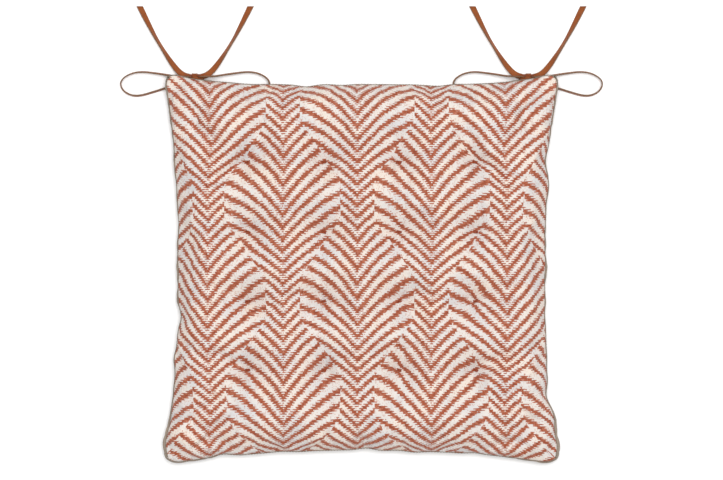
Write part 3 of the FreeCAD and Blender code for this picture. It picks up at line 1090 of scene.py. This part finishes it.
def jacquard():
    graph = Graph("jacquard_cloth")
    place_u, place_v, u, v = graph.cloth_place()
    wander = graph.noise(graph.vector(place_u, place_v), 22.0) - 0.5
    row = (v / PICK).floor()
    column = (u / END).floor()
    x = (column + 0.5) * END + wander * 2.2
    y = (row + 0.5) * PICK + wander * 2.6
    angle = (y - LEAF_WIDEST) * (2 * math.pi / LEAF_HEIGHT)
    width = (angle.cos() * LEAF_SQUARE).min(1.0).max(-1.0)
    from_left = (x - FIRST_SPINE).wrap(-COLUMN_PITCH, COLUMN_PITCH).abs()
    boundary = width * LEAF_SWING + COLUMN_PITCH / 2
    in_left = from_left.less(boundary)
    in_right = in_left * -1.0 + 1.0
    away = in_left * from_left + in_right * (from_left * -1.0 + COLUMN_PITCH)
    rise = away * ARM_SLOPE - away * away * ARM_BEND
    lagged = ((y - LEAF_WIDEST + SPINE_LAG) * (2 * math.pi / LEAF_HEIGHT)).cos() * SPINE_SHIFT
    shift = lagged * (in_right - in_left)
    stripe = ((y * -1.0 + rise + shift) / STRIPE_PITCH + STRIPE_PHASE).fract()
    from_middle = (stripe - 0.5).abs() * 2.0
    # Every other weft thread reaches further out of a stripe; single threads vary too.
    odd = (row * 0.5).fract().less(0.25)
    uneven = graph.speckle(graph.vector((u / 2.6).floor(), row))
    near_spine = (away / SPINE_RUN * -1.0 + 1.0).max(0.0)
    far_out = (away / ARM_RUN).min(1.0)
    hatched = odd * (near_spine * SPINE_HATCH + HATCH)
    reach = hatched + (uneven - 0.5) * UNEVEN + DUTY - far_out * ARM_THINNING
    core = from_middle.less(reach)
    inner = from_middle.less(reach - 0.12)
    ivory_noise = graph.noise(graph.vector(u / 3.0, v / 1.2), 1.0)
    patch = graph.noise(graph.vector(place_u, place_v, 3.0), 38.0, 3.0)
    ivory = graph.ramp(
        patch,
        (0.32, dyed(222, 222, 222)),
        (0.50, dyed(235, 229, 223)),
        (0.68, dyed(243, 231, 218)),
    )
    shadow = dyed(202, 178, 166)
    ivory = graph.mix(graph.spread(ivory_noise, 0.3, 0.7, 0.0, 0.24), ivory, shadow)
    rust_noise = graph.noise(graph.vector(u / 4.0, v / 1.1, 7.0), 1.0)
    rust = graph.ramp(
        rust_noise,
        (0.28, dyed(132, 66, 48)),
        (0.50, dyed(166, 86, 58)),
        (0.72, dyed(192, 118, 90)),
    )
    fringe = graph.mix(0.35, rust, dyed(226, 176, 158))
    colour = graph.mix(core, ivory, graph.mix(inner, fringe, rust))
    # A trace of the rust warp shows between the ivory picks.
    peep = graph.speckle(graph.vector(column, row, 5.0)).less(0.12)
    colour = graph.mix(peep * 0.40, colour, dyed(196, 130, 104))
    threads = weave(graph, u, v, 1.0)
    slubs = graph.noise(graph.vector(u / 5.0, v / 1.1, 2.0), 1.0, 3.0)
    height = threads * 0.55 + slubs * 0.5 + core * 0.25
    creased = graph.noise(graph.vector(place_u, place_v, 1.0), 70.0, 3.0, 0.55)
    normal = graph.bump(creased, 0.0012)
    normal = graph.bump(height, 0.00028, normal)
    shade = graph.spread(threads, 0.0, 1.0, 0.90, 1.03)
    colour = graph.mix(1.0, colour, graph.vector(shade, shade, shade), "MULTIPLY")
    roughness = graph.spread(slubs, 0.3, 0.7, 0.80, 0.95)
    return graph.finish(colour, roughness, normal, sheen=0.06)


def plain_cloth(name, dark, light, thread):
    """Plain woven cloth in two tones."""
    graph = Graph(name)
    place_u, place_v, u, v = graph.cloth_place()
    streak_u = graph.noise(graph.vector(u / thread, v / 30.0), 1.0)
    streak_v = graph.noise(graph.vector(u / 30.0, v / thread, 4.0), 1.0)
    threads = weave(graph, u, v, thread)
    # The yarn streaks give the cloth's own uneven tone. The weave's height, which is also the bump, lightens
    # the thread tops: painted shade between the threads.
    tone_and_relief_shade = streak_u * 0.45 + streak_v * 0.45 + threads * 0.12
    colour = graph.ramp(tone_and_relief_shade, (0.35, dark), (0.62, light))
    creased = graph.noise(graph.vector(place_u, place_v, 1.0), 80.0, 3.0)
    normal = graph.bump(creased, 0.0010)
    normal = graph.bump(threads, 0.0002, normal)
    roughness = graph.spread(streak_u, 0.3, 0.7, 0.78, 0.92)
    return graph.finish(colour, roughness, normal, sheen=0.05)


def ribbon_cloth():
    """Narrow folded tape with a fine cross rib and a line of stitches near its open edge."""
    graph = Graph("ribbon_cloth")
    across, along, u, v = graph.cloth_place()
    rib = ((v / 0.55).fract() - 0.5).abs() * 2.0
    grain = graph.noise(graph.vector(u / 0.5, v / 2.5), 1.0, 3.0)
    patch = graph.noise(graph.vector(across, along, 2.0), 60.0)
    # The rib and the grain, which also give the bump, lighten the colour where they stand high: painted shade
    # in their hollows. The patch noise is the tape's own uneven tone.
    tone_and_relief_shade = rib * 0.25 + grain * 0.45 + patch * 0.35
    colour = graph.ramp(
        tone_and_relief_shade,
        (0.30, dyed(112, 54, 18)),
        (0.52, dyed(144, 74, 28)),
        (0.75, dyed(170, 96, 42)),
    )
    edge = graph.spread(u.abs(), 2.5, 2.95, 0.0, 0.9)
    colour = graph.mix(edge, colour, dyed(112, 88, 62))
    stitch = (u - 1.9).abs().less(0.28) * (v / 2.6).fract().less(0.72)
    colour = graph.mix(stitch * 0.5, colour, dyed(122, 62, 28))
    height = rib * 0.4 + grain * 0.6 - stitch * 0.6
    normal = graph.bump(height, 0.00016)
    roughness = graph.spread(grain, 0.3, 0.7, 0.62, 0.82)
    return graph.finish(colour, roughness, normal, sheen=0.1)


def thread_material(name, dark, light):
    graph = Graph(name)
    place = graph.object_place()
    fibre = graph.noise(place, 900.0, 3.0)
    ply = graph.noise(place, 1980.0)
    colour = graph.ramp(fibre, (0.32, dark), (0.68, light))
    normal = graph.bump(ply, 0.00012)
    roughness = graph.spread(fibre, 0.3, 0.7, 0.6, 0.85)
    return graph.finish(colour, roughness, normal)


def fibre_material():
    graph = Graph("polyester_fibre")
    place = graph.object_place()
    clumps = graph.noise(place, 90.0, 4.0, 0.6)
    hairs = graph.noise(place, 900.0, 4.0, 0.7)
    colour = graph.ramp(clumps, (0.3, linear(214, 213, 208)), (0.7, linear(240, 240, 237)))
    normal = graph.bump(clumps, 0.003)
    normal = graph.bump(hairs, 0.0006, normal)
    roughness = graph.spread(hairs, 0.3, 0.7, 0.85, 0.98)
    return graph.finish(colour, roughness, normal, sheen=0.15)


def paint(made, material):
    made.data.materials.clear()
    made.data.materials.append(material)


TAUPE_THREAD = 0.8         # mm between the threads of the plain cover

ribbon_material = ribbon_cloth()
seam_thread = thread_material("seam_thread", linear(100, 90, 78), linear(136, 124, 110))
closing_thread = thread_material("closing_thread", linear(178, 170, 156), linear(214, 208, 196))
tuft_thread = thread_material("tuft_thread", linear(112, 48, 28), linear(160, 78, 48))
paint(top_cover, jacquard())
taupe_dark = dyed(132, 118, 104)
taupe_light = dyed(172, 157, 142)
paint(bottom_cover, plain_cloth("plain_taupe_cloth", taupe_dark, taupe_light, TAUPE_THREAD))
paint(filling, fibre_material())
paint(edge_seam, seam_thread)
paint(closing, closing_thread)
for made in [*tufts.values(), *tacks.values()]:
    paint(made, tuft_thread)
for made in [*(tie[0] for tie in ties.values()), *knots.values()]:
    paint(made, ribbon_material)


# ---- what each piece stands for ----

settle(top_cover, "top_cover")
settle(bottom_cover, "bottom_cover")
settle(filling, "fibre_filling")
settle(edge_seam, "edge_seam")
settle(closing, "closing_stitches")
for label, tuft in tufts.items():
    settle(tuft, f"tuft_thread_{label}")


# ---- floor and light ----

def floor_material():
    graph = Graph("pale_floor")
    place = graph.object_place()
    cloud = graph.noise(place, 1.5)
    colour = graph.ramp(cloud, (0.3, (0.93, 0.93, 0.93)), (0.7, (0.96, 0.96, 0.96)))
    normal = graph.bump(graph.noise(place, 300.0), 0.00002)
    return graph.finish(colour, 0.9, normal)


FLOOR_HALF = 3.0
floor = add_mesh(
    "floor",
    [(FLOOR_HALF * x, FLOOR_HALF * y, 0) for x, y in ((-1, -1), (1, -1), (1, 1), (-1, 1))],
    [(0, 1, 2, 3)],
)
paint(floor, floor_material())

world = bpy.data.worlds.new("studio")
world.use_nodes = True
world.node_tree.nodes["Background"].inputs["Color"].default_value = (1.0, 1.0, 1.0, 1.0)
world.node_tree.nodes["Background"].inputs["Strength"].default_value = 0.48
scene.world = world

LIGHT_PLACE = Vector((0.25, 0.55, 4.3))
lamp = bpy.data.lights.new("overhead", "AREA")
lamp.shape = "SQUARE"
lamp.size = 3.0
lamp.energy = 205.0
light = bpy.data.objects.new("overhead", lamp)
light.location = LIGHT_PLACE
light.rotation_euler = (-LIGHT_PLACE).to_track_quat("-Z", "Y").to_euler()
scene.collection.objects.link(light)
